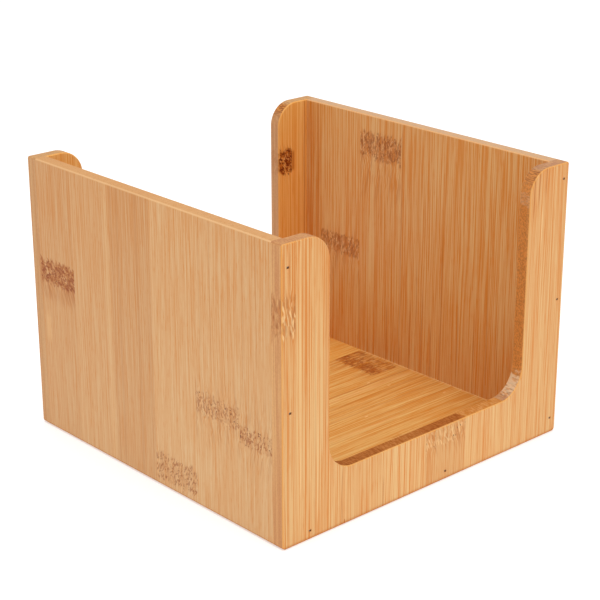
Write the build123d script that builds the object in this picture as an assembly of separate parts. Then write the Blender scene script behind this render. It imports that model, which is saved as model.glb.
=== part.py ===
"""Square open-topped bamboo napkin holder.

Five boards, each glued up from flat bamboo laths: two side walls and a base, held between
two U-shaped end panels by glue and sunk wire brads. The box is sanded once it is glued, so
its soft arrises are made on the whole box, which is then parted into the laths.

Millimetres. Origin at the middle of the underside, +Z up, the front end panel facing -Y.
"""
from build123d import *

import os

# Box
WIDTH = 190.0
DEPTH = 190.0
HEIGHT = 145.0
BOARD = 7.0
BASE = 6.0
FOOT_ROUND = 2.0
HEAD_ROUND = 1.1

# End panels: two tabs beside a cut-out that is open at the top, over a sill
TAB = 28.5
SILL = 29.0
CUTOUT_CORNER = 15.0
TAB_CORNER = 13.0

# Arrises eased by sanding: rounded outside, bevelled round the well
OUTER_ARRIS = 0.9
INNER_ARRIS = 0.5

# Lath widths, and the first glue joint of each board from the box's left or front edge
END_LATH = 28.0
SIDE_LATH = 31.3
FIRST_JOINT = {"front": 8.0, "back": 31.5, "left": 29.0, "right": 14.2, "base": 11.3}

# Brads: flat steel wire with a T head and a tapered point, driven through an end panel
BRAD_WIRE = (1.1, 0.9)
BRAD_HEAD = (1.5, 1.1)
BRAD_TIP = (0.9, 0.2)
HEAD_THICKNESS = 0.5
HEAD_SINK = 0.6
BRAD_LENGTH = 20.0
POINT_LENGTH = 1.6

# Where each brad sits on the front panel: from the left edge, and up from the foot
BRADS = {
    "left": ((3.6, 134.2), (4.6, 66.4)),
    "base": ((16.5, 4.5), (106.4, 4.5)),
    "right": ((185.4, 8.5), (186.2, 73.8), (186.3, 137.0)),
}

# Half sizes of the box and of its well
OUT_X = WIDTH / 2
OUT_Y = DEPTH / 2
IN_X = OUT_X - BOARD
IN_Y = OUT_Y - BOARD
NEAR = 0.01


def near(value, place):
    """Whether a coordinate lies at a place or at its mirror image."""
    return abs(abs(value) - place) < NEAR


def block(low, high):
    """A box between two corners."""
    sides = [top - bottom for bottom, top in zip(low, high)]
    return Pos(*low) * Box(*sides, align=Align.MIN)


def rounded(outline, corner_x, corner_z, radius):
    """The outline with its mirrored pair of corners rounded."""
    pair = [v for v in outline.vertices() if near(v.X, corner_x) and abs(v.Y - corner_z) < NEAR]
    return fillet(pair, radius)


def end_outline():
    """The end panel seen from the front: a U with round tabs and a round-cornered cut-out."""
    cut = OUT_X - TAB
    outline = Pos(0, HEIGHT / 2) * Rectangle(WIDTH, HEIGHT)
    outline -= Pos(0, SILL + HEIGHT / 2) * Rectangle(2 * cut, HEIGHT)
    outline = rounded(outline, OUT_X, 0, FOOT_ROUND)
    outline = rounded(outline, OUT_X, HEIGHT, HEAD_ROUND)
    outline = rounded(outline, cut, HEIGHT, TAB_CORNER)
    return rounded(outline, cut, SILL, CUTOUT_CORNER)


def wall_outline():
    """The middle of the box seen from the front: base and walls around the well."""
    outline = Pos(0, HEIGHT / 2) * Rectangle(WIDTH, HEIGHT)
    outline -= Pos(0, BASE + HEIGHT / 2) * Rectangle(2 * IN_X, HEIGHT)
    outline = rounded(outline, OUT_X, 0, FOOT_ROUND)
    return rounded(outline, OUT_X, HEIGHT, HEAD_ROUND)


def slab(outline, front, back):
    """An outline carried along Y from front to back."""
    return Pos(0, back, 0) * extrude(Plane.XZ * outline, back - front)


def glued_box():
    """The box as glued, with sharp arrises."""
    front = slab(end_outline(), -OUT_Y, -IN_Y)
    middle = slab(wall_outline(), -IN_Y, IN_Y)
    back = slab(end_outline(), IN_Y, OUT_Y)
    return front + middle + back


def arrises(box):
    """The edges that sanding reaches, as those of the end faces and those of the well's mouth."""
    outer = box.edges().filter_by(lambda e: near((e @ 0).Y, OUT_Y) and near((e @ 1).Y, OUT_Y))
    inner = []
    for edge in box.edges():
        start, middle, end = edge @ 0, edge @ 0.5, edge @ 1
        in_end_panel = near(start.Y, IN_Y) and near(end.Y, IN_Y) and middle.Z > SILL - NEAR
        on_wall_head = near(start.X, IN_X) and near(end.X, IN_X) and middle.Z > HEIGHT - NEAR
        in_well_corner = near(start.X, IN_X) and near(end.X, IN_X) and middle.Z < HEIGHT - NEAR
        if (in_end_panel and not in_well_corner) or on_wall_head:
            inner.append(edge)
    return outer, inner


def sanded_box():
    """The glued box with soft arrises, sharp only in the corners of the well."""
    outer, _ = arrises(glued_box())
    box = fillet(outer, OUTER_ARRIS)
    _, inner = arrises(box)
    return chamfer(inner, INNER_ARRIS)


def brad():
    """A brad pointing along +Y, the middle of its head's face at the origin."""
    point_start = BRAD_LENGTH - POINT_LENGTH
    head = extrude(Rectangle(*BRAD_HEAD), HEAD_THICKNESS)
    wire = extrude(Rectangle(*BRAD_WIRE), point_start)
    point_root = Pos(0, 0, point_start) * Rectangle(*BRAD_WIRE)
    point_tip = Pos(0, 0, BRAD_LENGTH) * Rectangle(*BRAD_TIP)
    point = loft([point_root, point_tip])
    return Rot(-90, 0, 0) * (head + wire + point)


def sink_hole():
    """The hole over a brad's head, from the head's face out through the panel's face."""
    return Rot(-90, 0, 0) * extrude(Rectangle(*BRAD_HEAD), -HEAD_SINK - OUTER_ARRIS)


def brad_places(group):
    """Where a group's brads go, front and back, the back ones turned half way round."""
    front = [Pos(x - OUT_X, HEAD_SINK - OUT_Y, z) for x, z in BRADS[group]]
    back = [Rot(0, 0, 180) * place for place in front]
    return {"front": front, "back": back}


def joints(first, pitch, low, high):
    """Both edges of a board and the glue joints between them."""
    lines = [low]
    joint = first
    while joint < high - NEAR:
        if joint > low + NEAR:
            lines.append(joint)
        joint += pitch
    return lines + [high]


def lath_blanks():
    """The space of each lath before sanding, by name."""
    blanks = {}
    for board, front, back in (("front", -OUT_Y, -IN_Y), ("back", IN_Y, OUT_Y)):
        lines = joints(FIRST_JOINT[board] - OUT_X, END_LATH, -OUT_X, OUT_X)
        for number, (left, right) in enumerate(zip(lines, lines[1:]), start=1):
            blanks[f"{board}_panel_lath_{number}"] = block((left, front, 0), (right, back, HEIGHT))
    for board, left, right in (("left", -OUT_X, -IN_X), ("right", IN_X, OUT_X)):
        lines = joints(FIRST_JOINT[board] - OUT_Y, SIDE_LATH, -IN_Y, IN_Y)
        for number, (front, back) in enumerate(zip(lines, lines[1:]), start=1):
            blanks[f"{board}_wall_lath_{number}"] = block((left, front, 0), (right, back, HEIGHT))
    lines = joints(FIRST_JOINT["base"] - OUT_Y, SIDE_LATH, -IN_Y, IN_Y)
    for number, (front, back) in enumerate(zip(lines, lines[1:]), start=1):
        blanks[f"base_lath_{number}"] = block((-IN_X, front, 0), (IN_X, back, BASE))
    return blanks


def parts():
    """Every piece of the holder, by name."""
    box = sanded_box()
    pieces = {}
    for group in BRADS:
        for side, places in brad_places(group).items():
            brads = [place * brad() for place in places]
            box -= brads + [place * sink_hole() for place in places]
            pieces[f"{side}_brads_{group}"] = Compound(brads)
    for name, blank in lath_blanks().items():
        pieces[name] = (box & blank).solid()
    return pieces


os.makedirs("parts", exist_ok=True)
for name, piece in parts().items():
    piece.label = name
    export_step(piece, f"parts/{name}.step")
    print(f"{name}: {piece.volume / 1000:.2f} cm3")
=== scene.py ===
"""Looks for a bamboo napkin box: finishes of its laths and brads, floor, studio light, camera.

The scene is in metres. A finish is laid out in millimetres on the box itself: x from the left
side, y from the front and z up from the foot. Within a board, every place is given as across,
along and through: across the laths, along their fibres, and through the board's thickness.
"""
import logging
import math
from abc import ABC, abstractmethod
from dataclasses import dataclass, replace
from enum import Enum
from typing import ClassVar

import bpy
import numpy as np
from mathutils import Matrix, Vector


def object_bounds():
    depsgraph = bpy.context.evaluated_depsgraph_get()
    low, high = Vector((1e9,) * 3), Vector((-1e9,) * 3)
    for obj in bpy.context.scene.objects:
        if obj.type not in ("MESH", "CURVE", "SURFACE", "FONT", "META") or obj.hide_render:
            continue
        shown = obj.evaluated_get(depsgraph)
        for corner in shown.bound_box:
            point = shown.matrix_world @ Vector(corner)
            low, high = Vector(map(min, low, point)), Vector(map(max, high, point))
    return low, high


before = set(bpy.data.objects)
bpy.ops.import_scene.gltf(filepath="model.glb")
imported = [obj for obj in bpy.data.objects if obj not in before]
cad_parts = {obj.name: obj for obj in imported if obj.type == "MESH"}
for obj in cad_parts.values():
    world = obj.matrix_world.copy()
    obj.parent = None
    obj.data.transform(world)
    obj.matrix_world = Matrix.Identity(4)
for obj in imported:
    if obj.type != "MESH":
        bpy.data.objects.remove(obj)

log = logging.getLogger("napkin_box")

MM = 0.001
CAD_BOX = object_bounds()

Colour = tuple[float, float, float]
Triple = tuple[float, float, float]
Range = tuple[float, float]

# No move at all
STILL = (0.0, 0.0, 0.0)

# The heights in millimetres between which a tab's arc gives way to the small rounds of the
# head, and between which the painted shade along the foot, a dark line that stands for the
# shadow where the box meets the floor, fades out
HEAD_ROUNDS = (143.8, 144.2)
FOOT_SHADE_BAND = (0.5, 2.2)


# ---------------------------------------------------------------- node arithmetic


class Signal:
    """A value that changes over a surface, made by nodes and written like plain arithmetic."""

    def __init__(self, graph: "Graph", socket: bpy.types.NodeSocket) -> None:
        """Wraps a node's output socket, which belongs to that graph."""
        self.graph = graph
        self.socket = socket

    def __add__(self, other: "Signal | float") -> "Signal":
        """The sum."""
        return self.graph.math("ADD", self, other)

    def __sub__(self, other: "Signal | float") -> "Signal":
        """The difference."""
        return self.graph.math("SUBTRACT", self, other)

    def __rsub__(self, other: "Signal | float") -> "Signal":
        """The difference, taken from a plain number."""
        return self.graph.math("SUBTRACT", other, self)

    def __mul__(self, other: "Signal | float") -> "Signal":
        """The product."""
        return self.graph.math("MULTIPLY", self, other)

    def __truediv__(self, other: "Signal | float") -> "Signal":
        """The quotient."""
        return self.graph.math("DIVIDE", self, other)

    def __abs__(self) -> "Signal":
        """The size without the sign."""
        return self.graph.math("ABSOLUTE", self)

    __radd__ = __add__
    __rmul__ = __mul__

    def at_least(self, other: "Signal | float") -> "Signal":
        """The larger of the two."""
        return self.graph.math("MAXIMUM", self, other)

    def rise(self, low: "Signal | float", high: "Signal | float") -> "Signal":
        """0 up to low and 1 from high, with a smooth S between them."""
        return self.graph.ramp(self, low, high, 0.0, 1.0)

    def fall(self, low: "Signal | float", high: "Signal | float") -> "Signal":
        """1 up to low and 0 from high, with a smooth S between them."""
        return self.graph.ramp(self, low, high, 1.0, 0.0)


Number = Signal | float
Signals = dict[str, Signal]


@dataclass(frozen=True)
class Cells:
    """A pattern of soft random cells: how many a millimetre holds across, along and through, how
    many finer layers they have, and the two values between which a hard one turns over."""

    per_mm: Triple
    detail: float = 0.0
    turn: Range = (0.0, 1.0)


class Graph:
    """A node tree being drawn, with one short method for each kind of step."""

    ROUGH_CELLS = 0.6

    def __init__(self, tree: bpy.types.NodeTree) -> None:
        """Draws into that tree."""
        self.tree = tree

    def add(self, kind: str, **settings: object) -> bpy.types.Node:
        """Adds a node.

        Args:
            kind: The node's Blender type.
            settings: Its properties by name.

        Returns:
            The new node.
        """
        node = self.tree.nodes.new(kind)
        for name, value in settings.items():
            setattr(node, name, value)
        return node

    def feed(self, socket: bpy.types.NodeSocket, value: "Number | Triple | Colour") -> None:
        """Links a signal to an input, or sets the input to a plain value.

        Args:
            socket: The input.
            value: A signal, a number, or three numbers for a vector or a colour.
        """
        if isinstance(value, Signal):
            self.tree.links.new(value.socket, socket)
        elif isinstance(value, tuple) and socket.type == "RGBA":
            socket.default_value = (*value, 1.0)
        else:
            socket.default_value = value

    def step(self, kind: str, *values: "Number | Triple", **settings: object) -> Signal:
        """Adds a node and feeds its inputs in their order.

        Args:
            kind: The node's Blender type.
            values: What goes into its first inputs.
            settings: Its properties by name.

        Returns:
            Its first output.
        """
        node = self.add(kind, **settings)
        for socket, value in zip(node.inputs, values):
            self.feed(socket, value)
        return Signal(self, node.outputs[0])

    def math(self, operation: str, *values: Number) -> Signal:
        """One step of arithmetic on one, two or three values."""
        return self.step("ShaderNodeMath", *values, operation=operation)

    def ramp(self, value: Signal, low: Number, high: Number, start: float, end: float) -> Signal:
        """A smooth S from start, at low, to end, at high.

        Args:
            value: What the ramp follows.
            low: Where it starts to change.
            high: Where it has changed.
            start: The result up to low.
            end: The result from high.

        Returns:
            The ramp's value.
        """
        node = self.add("ShaderNodeMapRange", interpolation_type="SMOOTHSTEP")
        names = ("Value", "From Min", "From Max", "To Min", "To Max")
        for name, entry in zip(names, (value, low, high, start, end)):
            self.feed(node.inputs[name], entry)
        return Signal(self, node.outputs["Result"])

    def clip(self, value: Signal) -> Signal:
        """The value, kept from 0 to 1."""
        return self.step("ShaderNodeClamp", value)

    def join(self, x: Number, y: Number, z: Number) -> Signal:
        """A vector of three values."""
        return self.step("ShaderNodeCombineXYZ", x, y, z)

    def split(self, vector: Signal) -> tuple[Signal, Signal, Signal]:
        """Takes a vector apart.

        Args:
            vector: The vector.

        Returns:
            Its three values.
        """
        node = self.add("ShaderNodeSeparateXYZ")
        self.feed(node.inputs[0], vector)
        x, y, z = (Signal(self, socket) for socket in node.outputs)
        return x, y, z

    def stretch(self, vector: Signal, scale: Triple, shift: "Signal | Triple") -> Signal:
        """A vector times a scale, plus a shift."""
        return self.step("ShaderNodeVectorMath", vector, scale, shift, operation="MULTIPLY_ADD")

    def noise(self, place: Signal, cells: Cells, seed: "Signal | Triple" = STILL) -> Signal:
        """Soft random cells from 0 to 1, about 0.5 on average.

        Args:
            place: Across, along and through, in millimetres.
            cells: The pattern.
            seed: A vector that moves the pattern elsewhere.

        Returns:
            The pattern's value.
        """
        node = self.add("ShaderNodeTexNoise")
        self.feed(node.inputs["Vector"], self.stretch(place, cells.per_mm, seed))
        node.inputs["Scale"].default_value = 1.0
        node.inputs["Detail"].default_value = cells.detail
        node.inputs["Roughness"].default_value = self.ROUGH_CELLS
        return Signal(self, node.outputs[0])

    def peaks(self, place: Signal, cells: Cells, seed: "Signal | Triple" = STILL) -> Signal:
        """A hard pattern that is 1 where the noise is high. Its inputs are those of noise."""
        return self.noise(place, cells, seed).rise(*cells.turn)

    def hollows(self, place: Signal, cells: Cells, seed: Signal) -> Signal:
        """A hard pattern that is 1 where the noise is low. Its inputs are those of noise."""
        return self.noise(place, cells, seed).fall(*cells.turn)

    def specks(self, place: Signal, per_mm: Triple, seed: Signal) -> tuple[Signal, Signal]:
        """Scattered points, one to a cell.

        Args:
            place: Across, along and through, in millimetres.
            per_mm: How many cells a millimetre holds each way.
            seed: A vector that moves the pattern elsewhere.

        Returns:
            The distance to the nearest point, in cells, and a random number of that point's own.
        """
        node = self.add("ShaderNodeTexVoronoi")
        self.feed(node.inputs["Vector"], self.stretch(place, per_mm, seed))
        node.inputs["Scale"].default_value = 1.0
        own, _, _ = self.split(Signal(self, node.outputs["Color"]))
        return Signal(self, node.outputs["Distance"]), own

    def tint(self, amount: Number, under: "Signal | Colour", over: "Signal | Colour") -> Signal:
        """Lays one colour over another.

        Args:
            amount: How much of it, from 0 to 1.
            under: The colour below.
            over: The colour laid over it.

        Returns:
            The colour between them.
        """
        node = self.add("ShaderNodeMix", data_type="RGBA")
        colours = [socket for socket in node.inputs if socket.type == "RGBA"]
        self.feed(node.inputs[0], amount)
        self.feed(colours[0], under)
        self.feed(colours[1], over)
        return Signal(self, next(s for s in node.outputs if s.type == "RGBA"))

    def shade(self, look: Signals, relief_mm: float, strength: float, **plain: float) -> None:
        """Ends a material in its shader.

        Args:
            look: The colour, roughness and relief.
            relief_mm: How deep a relief of 1 is.
            strength: How strongly the relief shows.
            plain: The shader's inputs that are the same all over, with _ for a space.
        """
        bump = self.add("ShaderNodeBump")
        bump.inputs["Strength"].default_value = strength
        bump.inputs["Distance"].default_value = relief_mm * MM
        self.feed(bump.inputs["Height"], look["Relief"])
        shader = self.add("ShaderNodeBsdfPrincipled")
        for name, value in plain.items():
            shader.inputs[name.replace("_", " ")].default_value = value
        self.feed(shader.inputs["Base Color"], look["Colour"])
        self.feed(shader.inputs["Roughness"], look["Roughness"])
        self.feed(shader.inputs["Normal"], Signal(self, bump.outputs["Normal"]))
        output = self.add("ShaderNodeOutputMaterial")
        self.feed(output.inputs["Surface"], Signal(self, shader.outputs[0]))


def bare_material(name: str) -> tuple[bpy.types.Material, Graph]:
    """Makes a material with no nodes yet.

    Args:
        name: The material's name.

    Returns:
        The material, and the graph that draws into it.
    """
    material = bpy.data.materials.new(name)
    material.use_nodes = True
    material.node_tree.nodes.clear()
    return material, Graph(material.node_tree)


VECTOR = "NodeSocketVector"
COLOUR = "NodeSocketColor"


def numbers(*names: str) -> dict[str, str]:
    """The names of sockets that carry plain numbers, each with its Blender type."""
    return dict.fromkeys(names, "NodeSocketFloat")


class Effect(ABC):
    """An effect that many finishes share: one node group, drawn once and placed with own values."""

    name: ClassVar[str]
    takes: ClassVar[dict[str, str]]
    gives: ClassVar[dict[str, str]]

    @classmethod
    @abstractmethod
    def draw(cls, graph: Graph, given: Signals) -> Signals:
        """Draws the effect's nodes.

        Args:
            graph: The group's own tree.
            given: Its inputs by name.

        Returns:
            Its outputs by name.
        """

    @classmethod
    def group(cls) -> bpy.types.NodeTree:
        """Draws the effect's node group the first time that it is asked for.

        Returns:
            The group.
        """
        tree = bpy.data.node_groups.get(cls.name)
        if tree is not None:
            return tree
        tree = bpy.data.node_groups.new(cls.name, "ShaderNodeTree")
        for name, kind in cls.takes.items():
            tree.interface.new_socket(name, in_out="INPUT", socket_type=kind)
        for name, kind in cls.gives.items():
            tree.interface.new_socket(name, in_out="OUTPUT", socket_type=kind)
        graph = Graph(tree)
        source = graph.add("NodeGroupInput")
        result = cls.draw(graph, {n: Signal(graph, source.outputs[n]) for n in cls.takes})
        sink = graph.add("NodeGroupOutput")
        for name, signal in result.items():
            graph.feed(sink.inputs[name], signal)
        return tree

    @classmethod
    def place(cls, graph: Graph, **values: "Number | Triple | Colour") -> Signals:
        """Puts the effect into a tree.

        Args:
            graph: Where it goes.
            values: Its inputs by name.

        Returns:
            Its outputs by name.
        """
        node = graph.add("ShaderNodeGroup", node_tree=cls.group())
        for name, value in values.items():
            graph.feed(node.inputs[name], value)
        return {name: Signal(graph, node.outputs[name]) for name in cls.gives}


# ---------------------------------------------------------------- effects in bamboo


class FibreFigure(Effect):
    """The figure of bamboo: fibre lines, ribbons and short dark hairs on faces along the fibres,
    pores, grit and hatching on the cut faces."""

    name = "fibre_figure"
    takes = {"Place": VECTOR} | numbers("Sway", "Run", "Seed")
    gives = numbers("Lines", "Ribbons", "Hairs", "Pores", "Grit", "Hatch")

    SEED_STEP = (7.31, 3.17, 5.53)
    DRIFT = Cells((0.05, 0.014, 0.05))
    DRIFT_MM = 2.0
    SHEAVES = Cells((0.3, 0.004, 0.3), 1.0, (0.37, 0.63))
    BUNDLES = Cells((0.85, 0.01, 0.85), 0.5, (0.39, 0.61))
    STRANDS = Cells((1.5, 0.022, 1.5), 0.5, (0.39, 0.61))
    RIBBONS = Cells((0.11, 0.002, 0.11), 1.0, (0.34, 0.66))
    ROW_SHIFT = Cells((0.35, 0.006, 0.35))
    ROW_SHIFT_RADIANS = 14.0
    ROW_RADIANS_PER_MM = 4.1
    HAIRS = Cells((1.7, 0.09, 1.7), 1.0, (0.56, 0.68))
    PORES_PER_MM = (1.5, 0.012, 1.5)
    PORE_RIM = (0.16, 0.42)
    PORE_CHANCE = (0.1, 0.5)
    GRIT = Cells((1.7, 1.2, 1.5), 2.0, (0.38, 0.6))
    HATCH = Cells((1.7, 1.7, 0.3), 1.0, (0.42, 0.56))

    @classmethod
    def draw(cls, graph: Graph, given: Signals) -> Signals:
        """Cells drawn out along the fibres, so that a face along them shows lines and a cut
        across them shows dots: bundles about 1 mm apart, finer strands between them, even rows
        made by the sine of the place across, and wide ribbons. Grit is nearly as long as it is
        wide, and a hatching runs through the board.

        Args:
            graph: The group's own tree.
            given: Its inputs by name.

        Returns:
            Its outputs by name.
        """
        across, along, through = graph.split(given["Place"])
        place = graph.join(across + given["Sway"], along, through)
        seed = graph.join(*(given["Seed"] * step for step in cls.SEED_STEP))
        drift = graph.noise(place, cls.DRIFT, seed) * cls.DRIFT_MM
        across, along, through = graph.split(place)
        place = graph.join(across + drift, along / given["Run"], through)
        sheaves = graph.peaks(place, cls.SHEAVES, seed)
        bundles = graph.peaks(place, cls.BUNDLES, seed)
        strands = graph.peaks(place, cls.STRANDS, seed)
        shift = graph.noise(place, cls.ROW_SHIFT, seed) * cls.ROW_SHIFT_RADIANS
        rows = graph.math("SINE", across * cls.ROW_RADIANS_PER_MM + shift) * 0.5 + 0.5
        far, own = graph.specks(place, cls.PORES_PER_MM, seed)
        return {
            "Lines": sheaves * 0.03 + bundles * 0.25 + strands * 0.35 + rows * 0.37,
            "Ribbons": graph.peaks(place, cls.RIBBONS, seed),
            "Hairs": graph.peaks(place, cls.HAIRS, seed),
            "Pores": far.fall(*cls.PORE_RIM) * own.rise(*cls.PORE_CHANCE),
            "Grit": graph.peaks(place, cls.GRIT, seed),
            "Hatch": graph.peaks(place, cls.HATCH, seed),
        }


KNUCKLE_MARKS = ("Wash", "Ticks", "Spots", "Pits", "Flecks", "Tails")


class KnuckleMarks(Effect):
    """A knuckle of the culm: a ragged band with ticks, pits and bright flecks, tails that run
    out of it, and fibres that swerve round it."""

    name = "knuckle_marks"
    takes = {"Place": VECTOR} | numbers(
        "Middle", "Reach", "Above", "Below", "Lean", "Long", "Swerve", "Seed"
    )
    gives = numbers(*KNUCKLE_MARKS, "Sway")

    SEED_STEP = (4.73, 6.11, 2.39)
    FRAY = Cells((0.6, 0.07, 0.6), 2.0)
    FRAY_DEPTH = 1.5
    RIM = (0.85, 1.15)
    MOTTLE = Cells((0.3, 0.16, 0.3), 2.0, (0.3, 0.55))
    TICKS = Cells((0.85, 0.34, 0.85), 1.0, (0.54, 0.59))
    SPOTS = Cells((0.5, 0.42, 0.5), 2.0, (0.42, 0.49))
    PITS_PER_MM = (0.5, 0.45, 0.3)
    PIT_RIM = (0.12, 0.24)
    PIT_CHANCE = (0.6, 0.7)
    FLECKS = Cells((0.8, 0.3, 0.6), 1.0, (0.38, 0.45))
    FINGERS = Cells((0.8, 0.045, 0.8), 2.0, (0.48, 0.64))
    TAIL_ROOT = 0.4
    SWERVE = Cells((0.33, 0.13, 0.33), 1.0)

    @classmethod
    def draw(cls, graph: Graph, given: Signals) -> Signals:
        """The band is where the distance from its middle, frayed by narrow fingers of noise,
        is under its reach. Tails are thin fingers below and above it that fade with the
        distance. The sway is sideways noise, strongest in the band, that bends the fibres.

        Args:
            graph: The group's own tree.
            given: Its inputs by name.

        Returns:
            Its outputs by name.
        """
        middle, reach = given["Middle"], given["Reach"]
        across, along, through = graph.split(given["Place"])
        off = along - middle
        seed = graph.join(*(given["Seed"] * step for step in cls.SEED_STEP))
        place = graph.join(across + off * given["Lean"], along / given["Long"], through)
        fray = (graph.noise(place, cls.FRAY, seed) - 0.5) * cls.FRAY_DEPTH
        band = (abs(off) / reach + fray).fall(*cls.RIM)
        far, own = graph.specks(place, cls.PITS_PER_MM, seed)
        root = reach * cls.TAIL_ROOT
        low = along.rise(middle - reach - given["Below"], middle - root)
        high = along.fall(middle + root, middle + reach + given["Above"])
        swerve = (graph.noise(place, cls.SWERVE, seed) - 0.5) * given["Swerve"]
        near = low * low * high * high
        return {
            "Wash": graph.peaks(place, cls.MOTTLE, seed) * band,
            "Ticks": graph.peaks(place, cls.TICKS, seed) * band,
            "Spots": graph.hollows(place, cls.SPOTS, seed) * band,
            "Pits": far.fall(*cls.PIT_RIM) * own.rise(*cls.PIT_CHANCE) * band,
            "Flecks": graph.hollows(place, cls.FLECKS, seed) * band,
            "Tails": graph.peaks(place, cls.FINGERS, seed) * low * high,
            "Sway": swerve * near,
        }


class Streak(Effect):
    """One long thin mark along the fibres, soft at its ends."""

    name = "streak"
    takes = {"Place": VECTOR} | numbers("Across", "Half width", "Low", "High", "Soft")
    gives = numbers("Mark")

    WAVER = Cells((0.02, 0.06, 0.02))
    WAVER_MM = 0.7

    @classmethod
    def draw(cls, graph: Graph, given: Signals) -> Signals:
        """Near the line across, and between low and high along it, with a slight waver.

        Args:
            graph: The group's own tree.
            given: Its inputs by name.

        Returns:
            Its outputs by name.
        """
        place = given["Place"]
        across, along, _ = graph.split(place)
        waver = (graph.noise(place, cls.WAVER) - 0.5) * cls.WAVER_MM
        off = abs(across + waver - given["Across"])
        body = off.fall(given["Half width"] * 0.3, given["Half width"] * 1.3)
        start = along.rise(given["Low"], given["Low"] + given["Soft"])
        end = along.fall(given["High"] - given["Soft"], given["High"])
        return {"Mark": body * start * end}


class Bloom(Effect):
    """A pale round patch of torn fibres."""

    name = "bloom"
    takes = {"Place": VECTOR} | numbers("Across", "Along", "Radius")
    gives = numbers("Mark")

    FRAY = Cells((0.4, 0.4, 0.3), 2.0)
    FRAY_DEPTH = 1.2
    RIM = (0.8, 1.1)
    TORN = Cells((0.9, 0.9, 0.35), 1.0, (0.34, 0.56))

    @classmethod
    def draw(cls, graph: Graph, given: Signals) -> Signals:
        """1 within the radius of a point of the board, frayed at the rim and torn by fibres.

        Args:
            graph: The group's own tree.
            given: Its inputs by name.

        Returns:
            Its outputs by name.
        """
        place = given["Place"]
        across, along, _ = graph.split(place)
        side, end = across - given["Across"], along - given["Along"]
        far = graph.math("SQRT", side * side + end * end) / given["Radius"]
        fray = (graph.noise(place, cls.FRAY) - 0.5) * cls.FRAY_DEPTH
        torn = graph.peaks(place, cls.TORN)
        return {"Mark": (far + fray).fall(*cls.RIM) * (torn * 0.6 + 0.4)}


class SandedFaces(Effect):
    """Tells a board's faces apart by which way they look."""

    name = "sanded_faces"
    takes = {"Facing": VECTOR}
    gives = numbers("Arris", "End grain", "Edge", "Bend")

    @classmethod
    def draw(cls, graph: Graph, given: Signals) -> Signals:
        """An arris looks partly through the board and partly along its plane. End grain looks
        along the fibres, an edge looks across them, and a bend is on its way between the two.

        Args:
            graph: The group's own tree.
            given: Its inputs by name.

        Returns:
            Its outputs by name.
        """
        across, along, through = (abs(s) for s in graph.split(given["Facing"]))
        cut = 1.0 - through.rise(0.3, 0.7)
        return {
            "Arris": through.rise(0.12, 0.5) * through.fall(0.8, 0.985),
            "End grain": along.rise(0.3, 0.75) * cut,
            "Edge": across.rise(0.6, 0.95) * cut,
            "Bend": along.rise(0.1, 0.35) * along.fall(0.86, 0.98) * cut,
        }


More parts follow.
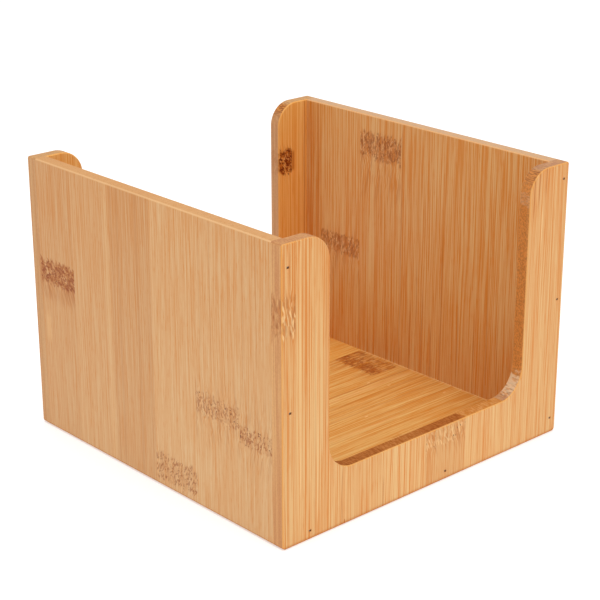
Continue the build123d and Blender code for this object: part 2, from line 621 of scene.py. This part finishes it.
class BambooColour(Effect):
    """The colour, roughness and relief of one lath from its figure and its marks."""

    name = "bamboo_colour"
    takes = dict.fromkeys(("Pale", "Amber", "Rust", "Cut", "Burnt", "Worn"), COLOUR) | numbers(
        *FibreFigure.gives, *KNUCKLE_MARKS, *SandedFaces.gives, "Dark", "Light", "Bloom",
        "Contrast", "Depth", "Height", "Deepen", "Burn", "Sear", "Rubbed",
    )
    gives = {"Colour": COLOUR} | numbers("Roughness", "Relief")

    PIT = (0.05, 0.015, 0.008)
    BLEACHED = (0.93, 0.62, 0.29)
    TORN = (0.80, 0.60, 0.38)
    PLAIN_SHADE = 0.46
    HAIR_SHADE = 0.25
    PLAIN_ROUGHNESS = 0.42

    @classmethod
    def draw(cls, graph: Graph, given: Signals) -> Signals:
        """Layers from the ground up: fibre lines and ribbons, tails, the knuckle's wash,
        bright flecks, placed streaks and the painted shade along the foot, the cut faces, ticks and
        pits, and last the worn arrises. Ticks, spots, pits and pores are sunk.

        Args:
            graph: The group's own tree.
            given: Its inputs by name.

        Returns:
            Its outputs by name.
        """
        colour = cls.ground(graph, given)
        colour = graph.tint(given["Tails"], colour, given["Rust"])
        colour = graph.tint(given["Wash"], colour, given["Rust"])
        flecks = given["Flecks"] * (1.0 - given["Edge"])
        colour = graph.tint(flecks.at_least(given["Light"]), colour, cls.BLEACHED)
        # Dark holds the dark streaks and the painted shade along the foot
        colour = graph.tint(given["Dark"], colour, given["Rust"])
        edge = graph.tint(given["Grit"] * 0.55 + 0.38, given["Burnt"], given["Amber"])
        colour = graph.tint(given["Edge"] * given["Sear"], colour, edge)
        colour = graph.tint(given["End grain"], colour, cls.ends(graph, given))
        cut = graph.clip(given["End grain"] + given["Edge"])
        colour = graph.tint(given["Bloom"] * cut, colour, cls.TORN)
        colour = graph.tint(given["Ticks"].at_least(given["Spots"]), colour, given["Burnt"])
        colour = graph.tint(given["Pits"], colour, cls.PIT)
        worn = given["Lines"] * 0.3 + 0.35
        colour = graph.tint(given["Arris"] * given["Rubbed"] * worn, colour, given["Worn"])
        rough = given["Lines"] * 0.1 + given["Pits"] * 0.3 + given["End grain"] * 0.3
        relief = (
            given["Lines"] * -0.05 - given["Ticks"] * 0.35 - given["Spots"] * 0.35
            - given["Pits"] * 1.2 - given["Pores"] * given["End grain"] * 0.6
        )
        return {"Colour": colour, "Roughness": rough + cls.PLAIN_ROUGHNESS, "Relief": relief}

    @classmethod
    def ground(cls, graph: Graph, given: Signals) -> Signal:
        """The lath between pale and amber: lines by their contrast, ribbons by their depth, the
        height along the board by how much it deepens, and hairs.

        Args:
            graph: The group's own tree.
            given: Its inputs by name.

        Returns:
            Their colour.
        """
        shade = (given["Lines"] - 0.5) * given["Contrast"]
        shade = shade + (given["Ribbons"] - 0.5) * given["Depth"]
        shade = shade + (given["Height"] - 0.5) * given["Deepen"]
        shade = shade + given["Hairs"] * cls.HAIR_SHADE
        return graph.tint(graph.clip(shade + cls.PLAIN_SHADE), given["Pale"], given["Amber"])

    @classmethod
    def ends(cls, graph: Graph, given: Signals) -> Signal:
        """The end grain: its cut colour, browned by the burn, hatched lightly, hatched strongly
        on a bend, and dotted with pores.

        Args:
            graph: The group's own tree.
            given: Its inputs by name.

        Returns:
            Its colour.
        """
        ends = graph.tint(given["Burn"], given["Cut"], given["Burnt"])
        light = graph.tint(given["Burn"], given["Pale"], given["Amber"])
        ends = graph.tint(given["Hatch"] * 0.36, ends, light)
        bent = graph.tint(given["Hatch"] * 0.7 + 0.1, given["Burnt"], given["Amber"])
        ends = graph.tint(given["Bend"] * 0.85, ends, bent)
        return graph.tint(given["Pores"] * 0.4, ends, given["Burnt"])


# ---------------------------------------------------------------- marks and finishes


class Grain(Enum):
    """How a board lies: which of the box's x, y and z run across, along and through it."""

    END_PANEL = (0, 2, 1)
    SIDE_WALL = (1, 2, 0)
    FLOOR = (1, 0, 2)


@dataclass(frozen=True)
class Knuckle:
    """A knuckle on one lath.

    In millimetres are its middle along the lath, its reach either way, how far its tails run
    above and below, and how far its fibres swerve. Wash to tails are how strongly each mark
    shows. The marks lean across as they run along, are stretched along by long, and show on
    the lath's edges by edge.
    """

    middle: float
    reach: float
    wash: float = 0.8
    ticks: float = 0.5
    spots: float = 0.5
    pits: float = 0.8
    flecks: float = 0.2
    tails: float = 0.5
    above: float = 8.0
    below: float = 10.0
    lean: float = 0.3
    long: float = 1.0
    swerve: float = 4.0
    edge: float = 1.0


@dataclass(frozen=True)
class Line:
    """A streak on one lath, in millimetres across and along. A positive shade is dark."""

    across: float
    low: float
    high: float
    shade: float
    width: float = 0.8
    soft: float = 8.0


@dataclass(frozen=True)
class Patch:
    """A pale patch of torn fibres on a cut face, in millimetres."""

    across: float
    along: float
    radius: float
    strength: float


@dataclass(frozen=True)
class Lath:
    """What sets one lath apart on its board.

    The tone runs from pale 0 to rust 1, and below 0 towards white. Burn is how brown its end
    grain is, sear how brown its edges are, and rubbed how pale its arrises are. A colour of
    its end grain, a bamboo, and the pale and amber of its edges take the board's place.
    """

    tone: float = 0.0
    burn: float = 0.2
    sear: float = 0.2
    rubbed: float = 1.0
    cut: Colour | None = None
    bamboo: "Bamboo | None" = None
    contrast: float = 1.0
    knuckles: tuple[Knuckle, ...] = ()
    lines: tuple[Line, ...] = ()
    patches: tuple[Patch, ...] = ()
    side: tuple[Colour, Colour] | None = None


@dataclass(frozen=True)
class Bamboo:
    """The bamboo of one board, whose laths are alike but for their tone and marks.

    Outside are the pale and amber of a face that looks towards the back, where they differ; the
    paler colours of the faces that look towards the front are then painted light. Contrast is
    that of the lines, depth that of the ribbons, and the colour deepens along the board, which is
    so many millimetres tall; on the floor and on the right wall that deepening is painted light
    and shade. Run draws the figure out, foot is how dark the painted shade along the foot is,
    and relief is in millimetres.
    """

    pale: Colour = (0.80, 0.502, 0.215)
    amber: Colour = (0.695, 0.25, 0.05)
    rust: Colour = (0.48, 0.135, 0.015)
    cut: Colour = (0.55, 0.25, 0.105)
    burnt: Colour = (0.26, 0.06, 0.004)
    worn: Colour = (0.84, 0.40, 0.10)
    outside: tuple[Colour, Colour] | None = None
    contrast: float = 1.2
    depth: float = 0.08
    deepen: float = 0.0
    tall: float = 145.0
    run: float = 1.0
    foot: float = 0.0
    relief: float = 0.03
    relief_strength: float = 0.6
    gloss: float = 0.2

    KNUCKLE_SEED_STEP = 11.0
    FOOT_ROUGHNESS = 0.5
    OUTWARDS = (-0.3, 0.3)

    def material(self, name: str, grain: Grain, lath: Lath, seed: float) -> bpy.types.Material:
        """Builds the finish of one lath.

        Args:
            name: The material's name.
            grain: How the board lies.
            lath: The lath's tone and marks.
            seed: A number of the lath's own, which moves its figure.

        Returns:
            The material.
        """
        material, graph = bare_material(name)
        place, facing = self.axes(graph, grain)
        _, along, _ = graph.split(place)
        faces = SandedFaces.place(graph, Facing=facing)
        faces["Bend"] = faces["Bend"] * along.fall(*HEAD_ROUNDS)
        # Painted shade along the foot: in its lowest millimetres the lath is darkened towards rust
        # and its arris is not paled, standing for the shadow where the box meets the floor
        faces["Arris"] = faces["Arris"] * along.rise(*FOOT_SHADE_BAND)
        foot = along.fall(*FOOT_SHADE_BAND) * self.foot
        sway, marks = self.marks(graph, lath, place, faces["Edge"], seed)
        marks["Dark"] = foot + marks["Dark"]
        pale, amber = self.ground(graph, lath, facing, faces["Edge"])
        figure = FibreFigure.place(graph, Place=place, Sway=sway, Run=self.run, Seed=seed)
        look = BambooColour.place(
            graph, Pale=pale, Amber=amber, Rust=self.rust, Cut=lath.cut or self.cut,
            Burnt=self.burnt, Worn=self.worn, Burn=lath.burn, Sear=lath.sear,
            Rubbed=lath.rubbed, Contrast=self.contrast * lath.contrast, Depth=self.depth,
            Height=along / self.tall, Deepen=self.deepen, **figure, **faces, **marks,
        )
        look["Roughness"] = look["Roughness"] + foot * self.FOOT_ROUGHNESS
        graph.shade(look, self.relief, self.relief_strength, Specular_IOR_Level=self.gloss)
        return material

    def marks(
        self, graph: Graph, lath: Lath, place: Signal, edge: Signal, seed: float
    ) -> tuple[Number, dict[str, Number]]:
        """Gathers a lath's knuckles, streaks and patches.

        Args:
            graph: The material's tree.
            lath: The lath.
            place: Across, along and through, in millimetres.
            edge: 1 on the lath's edges.
            seed: The lath's own number.

        Returns:
            How far the fibres sway, and how strongly each mark shows.
        """
        sway: Number = 0.0
        marks: dict[str, Number] = dict.fromkeys((*KNUCKLE_MARKS, "Dark", "Light", "Bloom"), 0.0)
        for number, knuckle in enumerate(lath.knuckles):
            found = KnuckleMarks.place(
                graph, Place=place, Middle=knuckle.middle, Reach=knuckle.reach,
                Above=knuckle.above, Below=knuckle.below, Lean=knuckle.lean,
                Long=knuckle.long, Swerve=knuckle.swerve,
                Seed=seed + self.KNUCKLE_SEED_STEP * number,
            )
            sway = found["Sway"] + sway
            shown = 1.0 - edge * (1.0 - knuckle.edge)
            for kind in KNUCKLE_MARKS:
                marks[kind] = found[kind] * shown * getattr(knuckle, kind.lower()) + marks[kind]
        for line in lath.lines:
            mark = Streak.place(graph, **{
                "Place": place, "Across": line.across, "Half width": line.width / 2,
                "Low": line.low, "High": line.high, "Soft": line.soft,
            })["Mark"]
            kind = "Dark" if line.shade > 0 else "Light"
            marks[kind] = mark * abs(line.shade) + marks[kind]
        for patch in lath.patches:
            torn = Bloom.place(
                graph, Place=place, Across=patch.across, Along=patch.along, Radius=patch.radius
            )
            marks["Bloom"] = torn["Mark"] * patch.strength + marks["Bloom"]
        return sway, marks

    def ground(
        self, graph: Graph, lath: Lath, facing: Signal, edge: Signal
    ) -> tuple[Signal | Colour, Signal | Colour]:
        """Chooses the two colours that the figure lies between.

        Args:
            graph: The material's tree.
            lath: The lath, with its tone and perhaps its own edges.
            facing: Which way the surface looks: across, along and through.
            edge: 1 on the lath's edges.

        Returns:
            The pale and the amber.
        """
        pale, amber = self.toned(self.pale, lath.tone), self.toned(self.amber, lath.tone)
        # Where outside is given, the faces that look towards the front keep the paler colours,
        # painted light
        if self.outside is not None:
            _, _, through = graph.split(facing)
            outer = through.rise(*self.OUTWARDS)
            outer_pale, outer_amber = (self.toned(colour, lath.tone) for colour in self.outside)
            pale, amber = graph.tint(outer, pale, outer_pale), graph.tint(outer, amber, outer_amber)
        if lath.side is not None:
            side_pale, side_amber = lath.side
            pale, amber = graph.tint(edge, pale, side_pale), graph.tint(edge, amber, side_amber)
        return pale, amber

    def toned(self, colour: Colour, tone: float) -> Colour:
        """Moves a colour towards rust or white.

        Args:
            colour: The colour.
            tone: How far, from 0 to 1 towards rust, and below 0 towards white.

        Returns:
            The moved colour.
        """
        goal = self.rust if tone > 0 else (1.0, 1.0, 1.0)
        red, green, blue = (c + (g - c) * abs(tone) for c, g in zip(colour, goal))
        return red, green, blue

    def axes(self, graph: Graph, grain: Grain) -> tuple[Signal, Signal]:
        """Turns the box's coordinates into the board's own.

        Args:
            graph: The material's tree.
            grain: How the board lies.

        Returns:
            The place in millimetres and the way that the surface faces, each as across,
            along and through.
        """
        low, _ = CAD_BOX
        source = graph.add("ShaderNodeTexCoord")
        corner = tuple(-value / MM for value in low)
        scale = (1 / MM, 1 / MM, 1 / MM)
        spot = graph.split(graph.stretch(Signal(graph, source.outputs["Object"]), scale, corner))
        look = graph.split(Signal(graph, source.outputs["Normal"]))
        return (
            graph.join(*(spot[axis] for axis in grain.value)),
            graph.join(*(look[axis] for axis in grain.value)),
        )


class Tarnish(Effect):
    """Blotches of tarnish on drawn wire."""

    name = "tarnish"
    takes = {"Place": VECTOR}
    gives = {"Colour": COLOUR} | numbers("Roughness", "Relief")

    BRIGHT = (0.55, 0.52, 0.50)
    DULL = (0.20, 0.12, 0.09)
    BLOTCH = Cells((1.9, 0.9, 1.9), 2.0, (0.35, 0.6))
    DRAWN = Cells((9.0, 0.4, 9.0), 1.0)

    @classmethod
    def draw(cls, graph: Graph, given: Signals) -> Signals:
        """Soft blotches under 1 mm wide, with fine drawing marks along the wire.

        Args:
            graph: The group's own tree.
            given: Its inputs by name.

        Returns:
            Its outputs by name.
        """
        blotch = graph.peaks(given["Place"], cls.BLOTCH)
        drawn = graph.noise(given["Place"], cls.DRAWN)
        return {
            "Colour": graph.tint(blotch, cls.BRIGHT, cls.DULL),
            "Roughness": blotch * 0.3 + drawn * 0.15 + 0.3,
            "Relief": drawn,
        }


@dataclass(frozen=True)
class BradWire:
    """Dulled steel wire, with its relief in millimetres."""

    relief: float = 0.01
    relief_strength: float = 1.0
    metallic: float = 0.9

    def material(self, name: str) -> bpy.types.Material:
        """Builds the finish.

        Args:
            name: The material's name.

        Returns:
            The material.
        """
        material, graph = bare_material(name)
        source = graph.add("ShaderNodeTexCoord")
        scale = (1 / MM, 1 / MM, 1 / MM)
        place = graph.stretch(Signal(graph, source.outputs["Object"]), scale, STILL)
        look = Tarnish.place(graph, Place=place)
        graph.shade(look, self.relief, self.relief_strength, Metallic=self.metallic)
        return material


# ---------------------------------------------------------------- boards


@dataclass(frozen=True)
class Board:
    """A board glued up from laths, each of which is a node of the frame."""

    name: str
    grain: Grain
    bamboo: Bamboo
    laths: tuple[Lath, ...]
    seed: float

    def dress(self) -> None:
        """Gives each lath its own finish."""
        for number, lath in enumerate(self.laths, start=1):
            node = f"{self.name}_{number}"
            bamboo = lath.bamboo or self.bamboo
            material = bamboo.material(node, self.grain, lath, self.seed + number)
            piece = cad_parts[node]
            for slot in piece.material_slots:
                slot.material = material
            log.info("%s: %d knuckles, %d streaks", node, len(lath.knuckles), len(lath.lines))


@dataclass(frozen=True)
class Brads:
    """The wire brads, in groups that are nodes of the frame."""

    wire: BradWire = BradWire()
    panels: tuple[str, ...] = ("front", "back")
    groups: tuple[str, ...] = ("left", "base", "right")

    def dress(self) -> None:
        """Gives every group the wire's finish."""
        material = self.wire.material("brad_wire_dulled")
        for panel in self.panels:
            for group in self.groups:
                node = f"{panel}_brads_{group}"
                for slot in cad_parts[node].material_slots:
                    slot.material = material
                log.info("%s: dulled wire", node)


ORANGE_CUT = (0.60, 0.215, 0.03)
RED_CUT = (0.60, 0.17, 0.01)
GREY_CUT = (0.50, 0.25, 0.14)
FRONT_BAMBOO = Bamboo(deepen=0.3, run=1.2, foot=0.6)
FRONT_LATHS = (
    Lath(
        tone=0.12, contrast=1.3,
        knuckles=(
            Knuckle(
                112, 9, wash=0.15, ticks=0.3, spots=0.15, pits=0, flecks=0.65, tails=0.4,
                lean=0.1, long=1.8, swerve=9, edge=1.5,
            ),
        ),
        lines=(
            Line(4.6, 122, 145, 0.5, 0.6), Line(3.2, 118, 145, -0.5, 0.6),
        ),
        side=((0.76, 0.43, 0.17), (0.585, 0.265, 0.10)),
    ),
    Lath(
        tone=0.06, burn=0.15, rubbed=0.35, contrast=1.18,
        lines=(
            Line(10.5, 20, 145, -0.35, 1.0), Line(21.0, 5, 120, -0.3, 0.7),
            Line(19.5, 0, 110, 0.25, 0.8), Line(26.0, 40, 130, 0.25, 0.7),
        ),
    ),
    Lath(
        tone=0.09, burn=0.86, cut=ORANGE_CUT,
        lines=(
            Line(36.4, -5, 32, 0.5, 0.7), Line(38.6, -5, 30, -0.3, 0.8),
            Line(38.0, -2, 3, 0.9, 0.8, 1.0), Line(63.4, -5, 18, 0.5, 0.9),
        ),
    ),
    Lath(tone=0.03, burn=0.72, cut=ORANGE_CUT, contrast=1.2),
    Lath(
        tone=0.2, burn=0.88, cut=RED_CUT,
        knuckles=(
            Knuckle(
                23.5, 4.5, wash=0.05, ticks=0.15, spots=0, pits=0.6, flecks=0.5, tails=0.5,
                above=3, below=8, long=1.3,
            ),
        ),
    ),
    Lath(tone=0.02, burn=0.2, cut=ORANGE_CUT, contrast=0.8),
    Lath(
        tone=0.04, burn=0.3, sear=0.85, cut=GREY_CUT, contrast=0.85,
        bamboo=replace(FRONT_BAMBOO, burnt=(0.24, 0.08, 0.016)),
        lines=(
            Line(164.5, 116, 165, 0.75, 1.0, 14), Line(168.0, 122, 165, 0.7, 1.2, 12),
            Line(171.0, 104, 128, -0.6, 0.8), Line(173.0, 126, 160, 0.55, 0.9, 10),
            Line(166.2, 126, 150, -0.4, 0.8),
        ),
        patches=(Patch(155.0, 36.5, 7.0, 0.65), Patch(161.5, 130.5, 3.2, 0.22)),
    ),
    Lath(tone=0.06, burn=0.2, cut=GREY_CUT, contrast=0.9),
)
FRONT = Board(
    name="front_panel_lath", grain=Grain.END_PANEL, seed=1.0,
    bamboo=FRONT_BAMBOO,
    laths=FRONT_LATHS,
)
BACK_LATHS = (
    Lath(side=((0.65, 0.38, 0.17), (0.55, 0.24, 0.08))),
    Lath(), Lath(), Lath(), Lath(),
    Lath(
        burn=0.3, side=((0.66, 0.37, 0.175), (0.54, 0.25, 0.09)),
        knuckles=(
            Knuckle(
                111.5, 6.5, wash=1.0, ticks=0.8, spots=1.0, tails=0.7, below=8, long=0.8,
                edge=0.1,
            ),
        ),
    ),
    Lath(lines=(Line(181.2, 10, 150, 0.5, 1.2), Line(172.6, 104.5, 118, 0.75, 2.4, 2.5))),
)
BACK = Board(
    name="back_panel_lath", grain=Grain.END_PANEL, seed=21.0,
    bamboo=Bamboo(
        # The pale and amber are paler than outside, which the faces that look back take: the inner
        # faces, looking towards the front, are painted light
        pale=(0.91, 0.52, 0.17), amber=(0.79, 0.305, 0.047), cut=(0.60, 0.335, 0.15),
        burnt=(0.19, 0.03, 0.001), run=1.5, foot=0.6,
        outside=((0.81, 0.50, 0.21), (0.70, 0.26, 0.052)),
    ),
    laths=BACK_LATHS,
)
LEFT_LATHS = (
    Lath(
        tone=0.03,
        knuckles=(
            Knuckle(
                48, 4.5, wash=0.2, ticks=0.55, spots=0.15, pits=1.0, tails=0.4,
                above=26, below=22, lean=0.1, long=0.65,
            ),
        ),
        lines=(Line(26.0, 70, 150, 0.2, 0.8), Line(17.0, 80, 150, 0.25, 0.8)),
    ),
    Lath(
        knuckles=(
            Knuckle(
                54.5, 5.5, wash=0.1, ticks=0.48, spots=0.15, pits=1.0, tails=0.4,
                above=18, below=26, lean=-0.1, long=0.65,
            ),
        ),
        lines=(Line(56.0, 75, 150, 0.2, 0.7), Line(48.5, 75, 150, 0.25, 0.8)),
    ),
    Lath(
        knuckles=(
            Knuckle(
                11, 6.5, wash=0.25, ticks=0.55, spots=0.1, pits=0.4, tails=0.25, below=5,
                long=0.8,
            ),
        ),
    ),
    Lath(
        tone=0.25,
        lines=(
            Line(116.5, -5, 150, 0.2, 2.0), Line(121.0, -5, 150, 0.15, 1.2),
            Line(102.0, -5, 150, 0.2, 2.2), Line(94.0, -5, 90, 0.15, 1.2),
        ),
    ),
    Lath(tone=0.13, lines=(Line(126.0, -5, 150, -0.08, 4.0),)),
    Lath(
        tone=0.23,
        knuckles=(
            Knuckle(
                87.5, 6, wash=0.9, ticks=0.55, spots=0.8, pits=0.8, tails=1.0,
                above=1.5, below=14, lean=-0.3, long=0.65,
            ),
        ),
        lines=(Line(179.0, 46, 68, -0.2, 5.0), Line(168.5, 70, 84, 0.2, 36, 6)),
    ),
)
LEFT = Board(
    name="left_wall_lath", grain=Grain.SIDE_WALL, seed=41.0,
    bamboo=Bamboo(
        pale=(0.71, 0.456, 0.227), amber=(0.63, 0.268, 0.076), rust=(0.44, 0.15, 0.03),
        burnt=(0.27, 0.048, 0.003), cut=(0.72, 0.385, 0.15), worn=(0.85, 0.55, 0.28),
        contrast=0.85, depth=0.06, deepen=0.28, run=0.5, foot=0.85,
    ),
    laths=LEFT_LATHS,
)
RIGHT_LATHS = (
    Lath(),
    Lath(lines=(Line(43.0, -5, 80, 0.4, 0.9, 30), Line(35.5, -5, 60, 0.3, 0.9, 30))),
    Lath(
        lines=(
            Line(76.0, -5, 95, 0.5, 1.0, 20), Line(63.5, 5, 60, 0.4, 1.0, 15),
            Line(52.0, -5, 60, 0.4, 0.9, 25),
        ),
    ),
    Lath(
        lines=(
            Line(107.0, -5, 145, 0.4, 0.9), Line(99.0, -5, 50, 0.45, 1.2, 15),
            Line(90.0, -5, 60, 0.45, 1.0, 15), Line(83.0, 0, 40, 0.45, 1.2, 12),
            Line(94.5, 25, 75, 0.3, 0.9, 15),
        ),
    ),
    Lath(
        knuckles=(
            Knuckle(
                128.5, 7, wash=0.5, ticks=0.6, spots=0.35, pits=0.4, flecks=0.35, above=4,
                below=45, lean=0.1, long=0.9,
            ),
        ),
        lines=(Line(139.0, -5, 55, 0.4, 1.0), Line(117.0, -5, 45, 0.4, 1.0, 12)),
    ),
    Lath(
        tone=0.02,
        knuckles=(
            Knuckle(
                66, 5.5, wash=0.45, ticks=0.5, spots=0.25, pits=0.3, flecks=0.4, below=25,
                lean=0.1, long=1.1,
            ),
        ),
    ),
    Lath(tone=0.06, lines=(Line(173.5, -5, 150, 0.4, 1.2),)),
)
RIGHT = Board(
    name="right_wall_lath", grain=Grain.SIDE_WALL, seed=61.0,
    bamboo=Bamboo(
        pale=(0.765, 0.468, 0.195), amber=(0.68, 0.252, 0.041), cut=(0.68, 0.44, 0.265),
        # deepen leaves the right wall paler towards its foot and deeper towards its top: painted
        # light low on the wall, set against the shade that falls there
        worn=(0.85, 0.50, 0.25), contrast=1.45, deepen=0.16, run=0.8, foot=0.85,
    ),
    laths=RIGHT_LATHS,
)
BASE_LATHS = (
    Lath(tone=0.06),
    # Line(..., 182, 184, -0.4, 99, 0.4) on laths 2 to 5 is a pale line across the lath where the
    # floor meets the right wall: a glue line, and a painted highlight
    Lath(lines=(Line(41.5, 110, 120, 0.6, 1.0, 3), Line(27.0, 182, 184, -0.4, 99, 0.4))),
    Lath(
        lines=(
            Line(69.0, 119, 122, -0.8, 0.7, 0.8), Line(63.0, 172, 175, -0.7, 0.7, 0.8),
            Line(65.8, 110, 200, 0.35, 1.1, 20), Line(61.5, 95, 175, 0.25, 0.9, 20),
            Line(56.5, 70, 135, 0.3, 0.9, 15), Line(51.0, 80, 200, 0.2, 0.9, 20),
            Line(59.0, 60, 145, -0.2, 1.6, 20), Line(58.0, 182, 184, -0.4, 99, 0.4),
        ),
    ),
    Lath(
        lines=(
            Line(98.4, 112, 200, 0.55, 1.5), Line(86.8, 95, 200, 0.35, 1.8, 20),
            Line(82.0, 90, 200, 0.35, 1.0), Line(78.0, 90, 190, 0.3, 1.0, 20),
            Line(75.0, 80, 200, 0.4, 1.2, 15), Line(94.5, 105, 190, -0.25, 2.6, 20),
            Line(100.0, 151, 154, -0.8, 0.7, 0.8), Line(90.0, 157, 160, -0.7, 0.7, 0.8),
            Line(90.0, 182, 184, -0.4, 99, 0.4),
        ),
    ),
    Lath(
        tone=0.02,
        knuckles=(
            Knuckle(
                172, 9.5, wash=0.35, ticks=0.45, spots=0.3, pits=0.1, tails=0.7, above=2,
                below=18, lean=0, long=1.6, swerve=6,
            ),
            Knuckle(
                166, 4.5, wash=0.4, ticks=0.45, spots=0.45, pits=0, flecks=0, tails=0,
                lean=0, swerve=0,
            ),
        ),
        lines=(Line(121.0, 182, 184, -0.4, 99, 0.4),),
    ),
    # Lath 6, near the back, has its own paler bamboo: painted light on the back of the floor, with
    # the same painted shade towards the right wall
    Lath(
        bamboo=Bamboo(
            pale=(0.85, 0.55, 0.185), amber=(0.73, 0.31, 0.05), deepen=0.55, tall=190.0,
            run=0.6,
        ),
    ),
    Lath(),
)
BASE = Board(
    name="base_lath", grain=Grain.FLOOR, seed=81.0,
    bamboo=Bamboo(
        pale=(0.785, 0.497, 0.175), amber=(0.655, 0.262, 0.043), burnt=(0.24, 0.035, 0.001),
        # deepen darkens the floor laths along x: painted shade towards the right wall, paler
        # towards the left
        contrast=1.3, deepen=0.55, tall=190.0, run=0.6,
    ),
    laths=BASE_LATHS,
)


# ---------------------------------------------------------------- studio


@dataclass(frozen=True)
class Floor:
    """A plain white round floor, in metres, that glows a little of itself."""

    radius: float = 4.0
    rings: int = 24
    spokes: int = 96
    drop: float = 0.0001
    white: Colour = (0.76, 0.76, 0.76)
    roughness: float = 0.9
    gloss: float = 0.1
    glow: float = 0.42

    def build(self) -> bpy.types.Object:
        """Lays the floor: rings whose radius grows as the square of their number, about the
        box's middle, and one face inside the smallest.

        Returns:
            The floor's object.
        """
        radius = self.radius * (np.arange(1, self.rings + 1) / self.rings) ** 2
        angle = np.arange(self.spokes) * 2 * np.pi / self.spokes
        x = np.outer(radius, np.cos(angle))
        y = np.outer(radius, np.sin(angle))
        points = np.stack([x, y, np.full_like(x, -self.drop)], axis=-1).reshape(-1, 3)
        ring, spoke = np.meshgrid(np.arange(self.rings - 1), np.arange(self.spokes), indexing="ij")
        here = ring * self.spokes + spoke
        beside = ring * self.spokes + (spoke + 1) % self.spokes
        faces = np.stack([here, here + self.spokes, beside + self.spokes, beside], axis=-1)
        middle = [tuple(range(self.spokes))]
        mesh = bpy.data.meshes.new("studio_floor")
        mesh.from_pydata(points.tolist(), [], faces.reshape(-1, 4).tolist() + middle)
        mesh.materials.append(self.material())
        floor = bpy.data.objects.new("studio_floor", mesh)
        bpy.context.scene.collection.objects.link(floor)
        return floor

    def material(self) -> bpy.types.Material:
        """White matt card, plain all over.

        Returns:
            The material.
        """
        material = bpy.data.materials.new("white_card")
        material.use_nodes = True
        shader = material.node_tree.nodes["Principled BSDF"]
        shader.inputs["Base Color"].default_value = (*self.white, 1.0)
        shader.inputs["Roughness"].default_value = self.roughness
        shader.inputs["Specular IOR Level"].default_value = self.gloss
        shader.inputs["Emission Color"].default_value = (1.0, 1.0, 1.0, 1.0)
        shader.inputs["Emission Strength"].default_value = self.glow
        return material


@dataclass(frozen=True)
class Lamp:
    """A soft square lamp, in metres, that looks at the box."""

    name: str
    place: Triple
    side: float
    watts: float
    colour: Colour = (1.0, 1.0, 1.0)
    target: Triple = (0.0, 0.0, 0.07)

    def build(self) -> None:
        """Hangs the lamp and turns it to its target."""
        light = bpy.data.lights.new(self.name, "AREA")
        light.size = self.side
        light.energy = self.watts
        light.color = self.colour
        lamp = bpy.data.objects.new(self.name, light)
        aim = Vector(self.target) - Vector(self.place)
        turn = aim.to_track_quat("-Z", "Y").to_matrix().to_4x4()
        lamp.matrix_world = Matrix.Translation(self.place) @ turn
        bpy.context.scene.collection.objects.link(lamp)


@dataclass(frozen=True)
class Studio:
    """The floor, the lamps and the white surroundings."""

    floor: Floor = Floor()
    lamps: tuple[Lamp, ...] = (
        Lamp("key_lamp", (-0.4, -2.0, 1.6), 1.2, 3.5),
        Lamp("top_lamp", (-0.2, -0.2, 2.2), 1.6, 22.0),
    )
    surroundings: float = 0.7

    def build(self) -> None:
        """Sets the studio up."""
        self.floor.build()
        for lamp in self.lamps:
            lamp.build()
            log.info("%s: %.0f W", lamp.name, lamp.watts)
        world = bpy.data.worlds.new("white_surroundings")
        world.use_nodes = True
        world.node_tree.nodes["Background"].inputs["Color"].default_value = (1, 1, 1, 1)
        world.node_tree.nodes["Background"].inputs["Strength"].default_value = self.surroundings
        bpy.context.scene.world = world
        view = bpy.context.scene.view_settings
        view.view_transform = "Standard"
        view.look = "None"


@dataclass(frozen=True)
class Camera:
    """The camera, in metres and degrees, looking at the box from its front left corner."""

    place: Triple = (-0.53091, -0.58381, 0.36532)
    heading: float = 42.402
    dip: float = 20.495
    roll: float = -0.103
    focal_mm: float = 99.06
    sensor_mm: float = 36.0

    def build(self) -> None:
        """Sets the camera up: turned by its roll, tipped up from straight down, then headed."""
        data = bpy.data.cameras.new("view_camera")
        data.lens = self.focal_mm
        data.sensor_width = self.sensor_mm
        camera = bpy.data.objects.new("view_camera", data)
        camera.matrix_world = (
            Matrix.Translation(self.place)
            @ Matrix.Rotation(math.radians(-self.heading), 4, "Z")
            @ Matrix.Rotation(math.radians(90.0 - self.dip), 4, "X")
            @ Matrix.Rotation(math.radians(self.roll), 4, "Z")
        )
        bpy.context.scene.collection.objects.link(camera)
        bpy.context.scene.camera = camera
        log.info("camera: %.1f mm lens", self.focal_mm)


def main() -> None:
    """Dresses the box board by board, and sets the studio and the camera up."""
    logging.basicConfig(level=logging.INFO, format="%(message)s")
    for board in (FRONT, BACK, LEFT, RIGHT, BASE):
        board.dress()
    Brads().dress()
    Studio().build()
    Camera().build()


if __name__ == "__main__":
    main()
